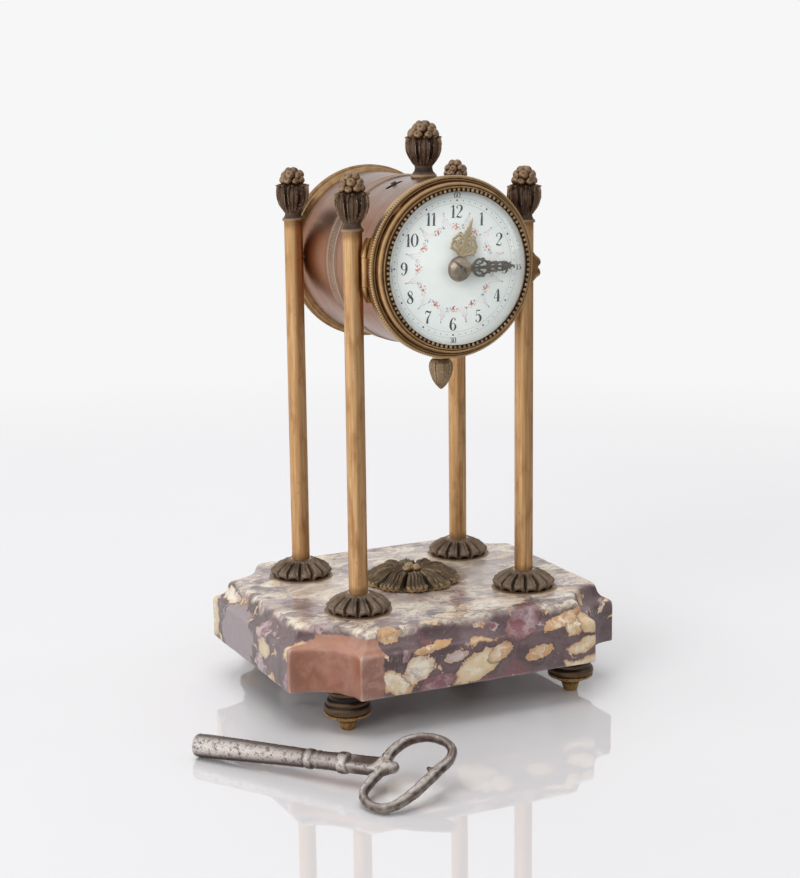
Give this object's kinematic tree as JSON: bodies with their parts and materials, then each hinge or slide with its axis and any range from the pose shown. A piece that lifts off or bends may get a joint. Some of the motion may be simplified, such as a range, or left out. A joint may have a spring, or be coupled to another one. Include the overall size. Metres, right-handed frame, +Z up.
{
  "type": "table clock",
  "caption": "Small table clock: a drum case with domed glass and floral dial, held by four brass columns on a bevelled marble base with turned feet, and its looped winding key.",
  "frame": {"origin": "centre of the marble base, on the plane that the four feet stand on", "axes": "+Z up, +Y from the dial to the back of the drum, +X to the right as the dial is read"},
  "size_m": [0.1501, 0.1588, 0.1852],
  "materials": {
    "marble": "polished breccia marble, cream, ochre and violet-grey",
    "bronze": "patinated cast bronze",
    "column_brass": "satin brass",
    "drum_brass": "polished coppery brass",
    "gilt_brass": "gilt brass, worn",
    "glass": "clear domed glass",
    "enamel": "white vitreous enamel on copper",
    "hand_brass": "gilt stamped brass",
    "dark_steel": "blued and greyed steel",
    "movement_brass": "brushed brass",
    "key_steel": "worn, pitted steel"
  },
  "bodies": {
    "frame": {"marble_base": "marble", "foot_fl": "bronze", "foot_fr": "bronze", "foot_rl": "bronze", "foot_rr": "bronze", "rosette_fl": "bronze", "rosette_fr": "bronze", "rosette_rl": "bronze", "rosette_rr": "bronze", "column_fl": "column_brass", "column_fr": "column_brass", "column_rl": "column_brass", "column_rr": "column_brass", "finial_fl": "bronze", "finial_fr": "bronze", "finial_rl": "bronze", "finial_rr": "bronze", "tie_rods": "dark_steel", "nuts": "dark_steel", "centre_rosette": "bronze", "leaf_pendant": "bronze", "drum_finial": "bronze", "drum_shell": "drum_brass", "milled_band": "drum_brass", "drum_screws": "dark_steel", "hinge_leaf": "gilt_brass", "hinge_pins": "gilt_brass", "rear_ring": "gilt_brass", "dial_ring": "movement_brass", "dial": "enamel", "front_plate": "movement_brass", "back_plate": "movement_brass", "pillars": "movement_brass", "plate_screws": "dark_steel", "hairspring": "dark_steel", "balance_cock": "movement_brass"},
    "front_door": {"front_bezel": "gilt_brass", "bead_ring": "gilt_brass", "glass": "glass", "bezel_catch": "gilt_brass"},
    "back_door": {"rear_door": "gilt_brass"},
    "centre": {"centre_arbor": "dark_steel", "cannon_pinion": "dark_steel", "minute_hand": "dark_steel", "hand_nut": "dark_steel"},
    "hour": {"hour_wheel": "movement_brass", "hour_hand": "hand_brass"},
    "minute": {"minute_wheel": "movement_brass"},
    "barrel": {"mainspring_barrel": "movement_brass", "mainspring": "dark_steel"},
    "winding": {"winding_arbor": "dark_steel", "ratchet_wheel": "dark_steel"},
    "pawl": {"click": "dark_steel"},
    "third": {"third_wheel": "movement_brass"},
    "fourth": {"fourth_wheel": "movement_brass"},
    "escape": {"escape_wheel": "movement_brass"},
    "lever": {"pallet_lever": "dark_steel"},
    "balance": {"balance_wheel": "movement_brass"},
    "index": {"regulator": "dark_steel"},
    "key": {"winding_key": "key_steel"}
  },
  "joints": [
    {"name": "bezel_swing", "type": "hinge", "parent": "frame", "child": "front_door", "pos_m": [-0.0279, -0.028, 0.1406], "axis": [0, 0, -1], "range_deg": [0, 110]},
    {"name": "rear_door_swing", "type": "hinge", "parent": "frame", "child": "back_door", "pos_m": [0.0296, 0.032, 0.1406], "axis": [0, 0, -1], "range_deg": [0, 110]},
    {"name": "minute_hand_spin", "type": "hinge", "parent": "frame", "child": "centre", "pos_m": [0, 0, 0.1406], "axis": [0, 1, 0], "continuous": true},
    {"name": "hour_hand_spin", "type": "hinge", "parent": "frame", "child": "hour", "pos_m": [0, 0, 0.1406], "axis": [0, 1, 0], "continuous": true},
    {"name": "minute_wheel_spin", "type": "hinge", "parent": "frame", "child": "minute", "pos_m": [0.00416, 0, 0.1382], "axis": [0, 1, 0], "continuous": true},
    {"name": "barrel_spin", "type": "hinge", "parent": "frame", "child": "barrel", "pos_m": [0, 0, 0.1287], "axis": [0, 1, 0], "continuous": true},
    {"name": "third_wheel_spin", "type": "hinge", "parent": "frame", "child": "third", "pos_m": [0.0077, 0, 0.1434], "axis": [0, 1, 0], "continuous": true},
    {"name": "fourth_wheel_spin", "type": "hinge", "parent": "frame", "child": "fourth", "pos_m": [0.00453, 0, 0.15018], "axis": [0, 1, 0], "continuous": true},
    {"name": "winding_spin", "type": "hinge", "parent": "frame", "child": "winding", "pos_m": [0, 0, 0.1287], "axis": [0, 1, 0], "continuous": true},
    {"name": "click_rock", "type": "hinge", "parent": "frame", "child": "pawl", "pos_m": [0.0074, 0, 0.1311], "axis": [0, 1, 0], "range_deg": [0, 12], "stiffness_Nm_per_rad": 0.00002},
    {"name": "escape_wheel_spin", "type": "hinge", "parent": "frame", "child": "escape", "pos_m": [0.00813, 0, 0.15447], "axis": [0, 1, 0], "continuous": true},
    {"name": "pallet_lever_rock", "type": "hinge", "parent": "frame", "child": "lever", "pos_m": [0.0026, 0, 0.1565], "axis": [0, 1, 0], "range_deg": [-5, 5]},
    {"name": "balance_swing", "type": "hinge", "parent": "frame", "child": "balance", "pos_m": [-0.00431, 0, 0.15126], "axis": [0, 1, 0], "range_deg": [-135, 135], "stiffness_Nm_per_rad": 0.000003},
    {"name": "regulator_turn", "type": "hinge", "parent": "frame", "child": "index", "pos_m": [-0.00431, 0, 0.15126], "axis": [0, 1, 0], "range_deg": [-7, 7]},
    {"name": "key_lift", "type": "slide", "parent": "frame", "child": "key", "axis": [0, 0, 1], "range_m": [0, 0.06]}
  ],
  "couplings": [
    {"joint": "hour_hand_spin", "follows": "minute_hand_spin", "ratio": 0.083333},
    {"joint": "minute_wheel_spin", "follows": "minute_hand_spin", "ratio": -0.33333},
    {"joint": "barrel_spin", "follows": "minute_hand_spin", "ratio": -0.16667},
    {"joint": "third_wheel_spin", "follows": "minute_hand_spin", "ratio": -8},
    {"joint": "fourth_wheel_spin", "follows": "minute_hand_spin", "ratio": 60}
  ]
}
